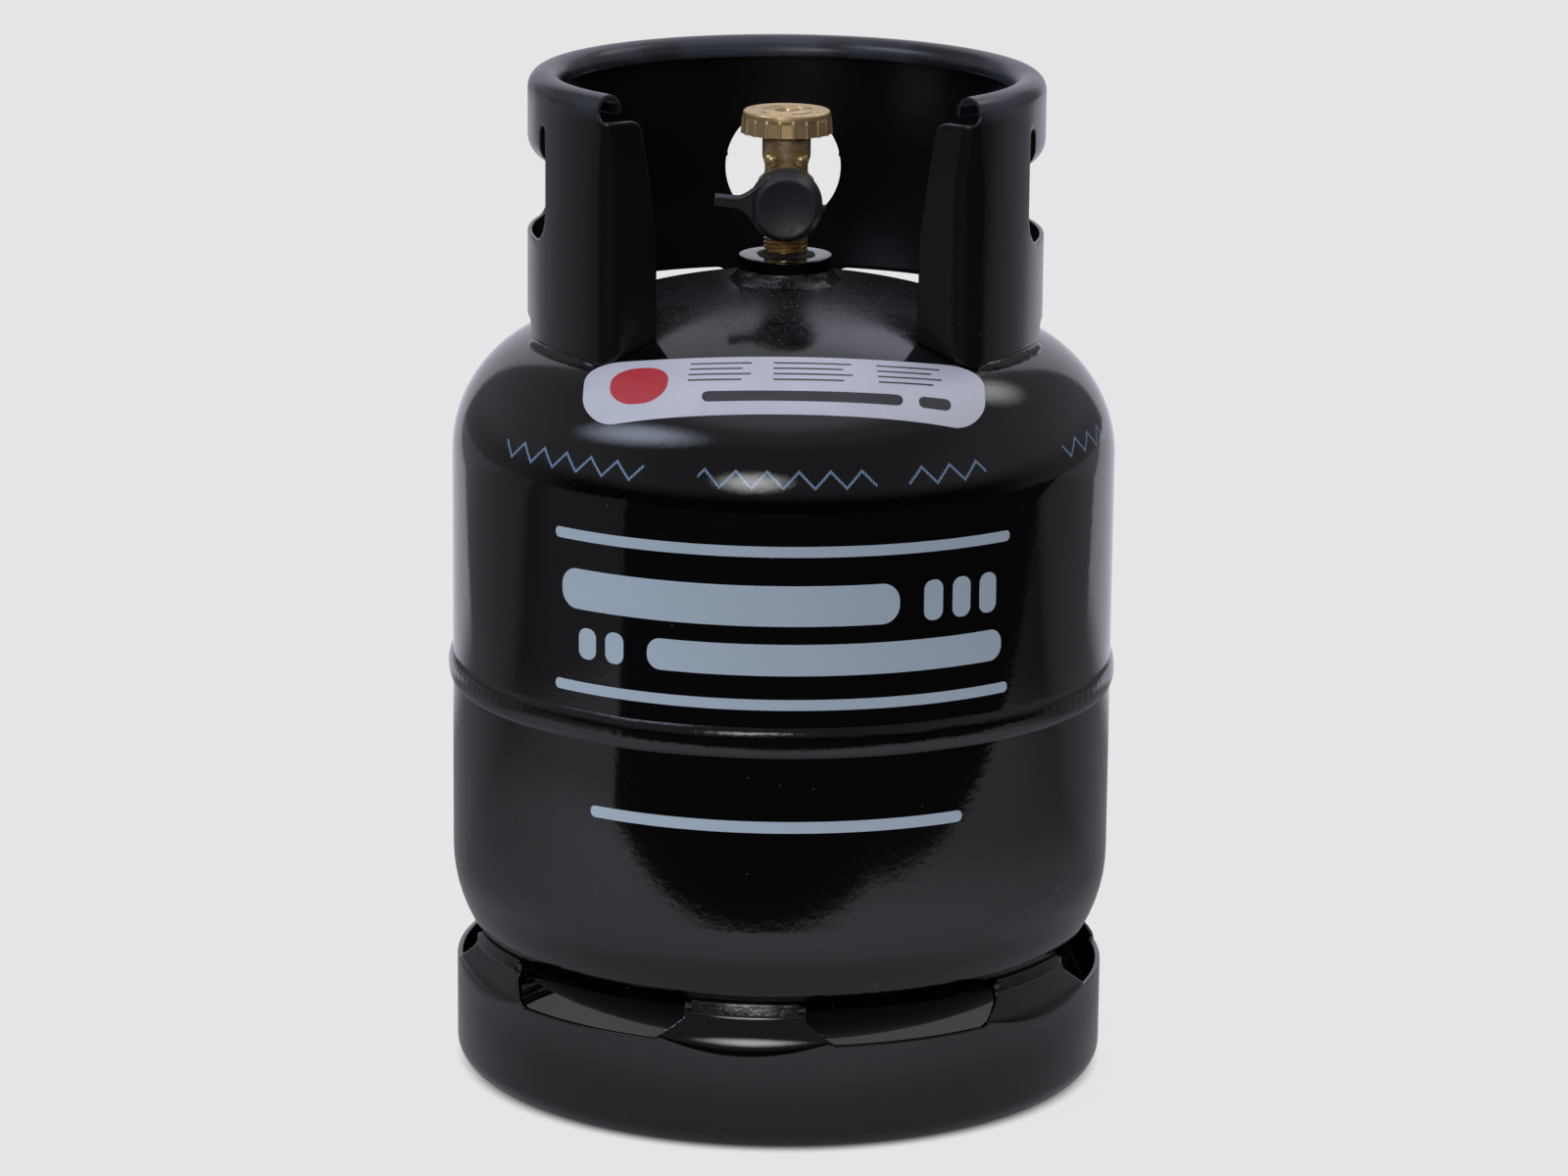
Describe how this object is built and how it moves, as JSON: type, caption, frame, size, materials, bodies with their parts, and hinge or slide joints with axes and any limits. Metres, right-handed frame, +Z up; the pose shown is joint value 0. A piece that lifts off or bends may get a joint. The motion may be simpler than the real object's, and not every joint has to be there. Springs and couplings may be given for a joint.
{
  "type": "propane tank",
  "caption": "Round steel propane bottle with dished ends, a rolled valve collar open at the front, a tabbed foot ring and a brass valve with a handwheel and a capped outlet.",
  "frame": {"origin": "centre of the foot ring, on the ground it stands on", "axes": "+Z up along the bottle's axis; the valve outlet and the collar's opening face -Y; +X is to the right of someone facing the outlet"},
  "size_m": [0.3038, 0.3038, 0.4582],
  "materials": {
    "black_paint": "glossy black powder coat on steel, with orange peel",
    "cast_brass": "hot-forged brass, dull and grainy",
    "turned_brass": "turned brass",
    "gold_wheel": "gold-coloured die casting, satin",
    "black_plastic": "moulded black plastic",
    "black_rubber": "black sealing rubber",
    "spring_steel": "bright plated steel"
  },
  "bodies": {
    "bottle": {"upper_shell": "black_paint", "lower_shell": "black_paint", "seam_weld": "black_paint", "neck_boss": "black_paint", "boss_weld": "black_paint", "collar": "black_paint", "collar_weld_left": "black_paint", "collar_weld_right": "black_paint", "collar_weld_rear": "black_paint", "foot_ring": "black_paint", "foot_weld_1": "black_paint", "foot_weld_2": "black_paint", "foot_weld_3": "black_paint", "foot_weld_4": "black_paint", "foot_weld_5": "black_paint", "foot_weld_6": "black_paint", "valve_body": "cast_brass", "bonnet": "turned_brass", "bonnet_o_ring": "black_rubber", "bonnet_pin_left": "turned_brass", "bonnet_pin_right": "turned_brass", "spindle_o_ring": "black_rubber", "outlet_seal": "black_rubber", "relief_spring": "spring_steel", "relief_cap": "turned_brass"},
    "handwheel": {"handwheel": "gold_wheel", "handwheel_screw": "spring_steel", "spindle": "turned_brass"},
    "closing_spindle": {"lower_spindle": "turned_brass", "seat_disc": "black_rubber"},
    "cap_washer": {"cap_washer": "black_rubber"},
    "outlet_cap": {"outlet_cap": "black_plastic"},
    "relief_piston": {"relief_piston": "turned_brass", "relief_seal": "black_rubber"}
  },
  "joints": [
    {"name": "handwheel_turn", "type": "hinge", "parent": "bottle", "child": "handwheel", "pos_m": [0, 0, 0.43], "axis": [0, 0, 1], "range_deg": [0, 720]},
    {"name": "disc_lift", "type": "slide", "parent": "handwheel", "child": "closing_spindle", "axis": [0, 0, 1], "range_m": [0, 0.003]},
    {"name": "cap_travel", "type": "slide", "parent": "bottle", "child": "cap_washer", "axis": [0, -1, 0], "range_m": [0, 0.01]},
    {"name": "cap_turn", "type": "hinge", "parent": "cap_washer", "child": "outlet_cap", "pos_m": [0, -0.03, 0.40139], "axis": [0, 1, 0], "range_deg": [0, 1980]},
    {"name": "relief_lift", "type": "slide", "parent": "bottle", "child": "relief_piston", "axis": [0, 1, 0], "range_m": [0, 0.002], "stiffness_N_per_m": 800, "deforming": ["relief_spring"]}
  ],
  "couplings": [
    {"joint": "handwheel_turn", "follows": "disc_lift", "rad_per_m": 4188.8},
    {"joint": "cap_turn", "follows": "cap_travel", "rad_per_m": 3455.8}
  ]
}
